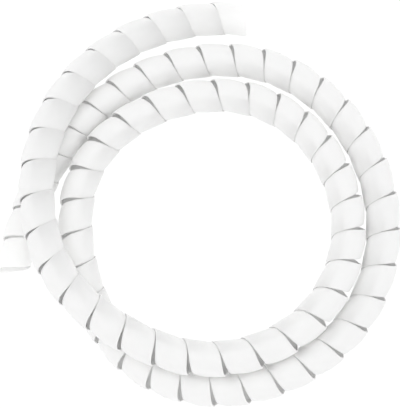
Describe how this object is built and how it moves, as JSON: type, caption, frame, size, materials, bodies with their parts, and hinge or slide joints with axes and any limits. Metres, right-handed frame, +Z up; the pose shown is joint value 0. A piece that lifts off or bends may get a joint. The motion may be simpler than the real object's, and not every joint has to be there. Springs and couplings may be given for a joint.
{
  "type": "spiral cable wrap",
  "caption": "Flexible plastic tube slit along a helix, laid in a loose coil, for winding round a bundle of cables",
  "frame": {"origin": "on the floor under the middle of the coil's bounding box", "axes": "+Z up; +X towards the right of the coil and +Y towards the back, seen with the lower free end at the left and the upper free end at the back"},
  "size_m": [0.2599, 0.2648, 0.0463],
  "materials": {
    "natural_polyethylene": "natural white extruded polyethylene, satin and slightly waxy, with faint draw lines along the tube"
  },
  "bodies": {
    "root": {"spiral_wrap": "natural_polyethylene"}
  },
  "joints": []
}
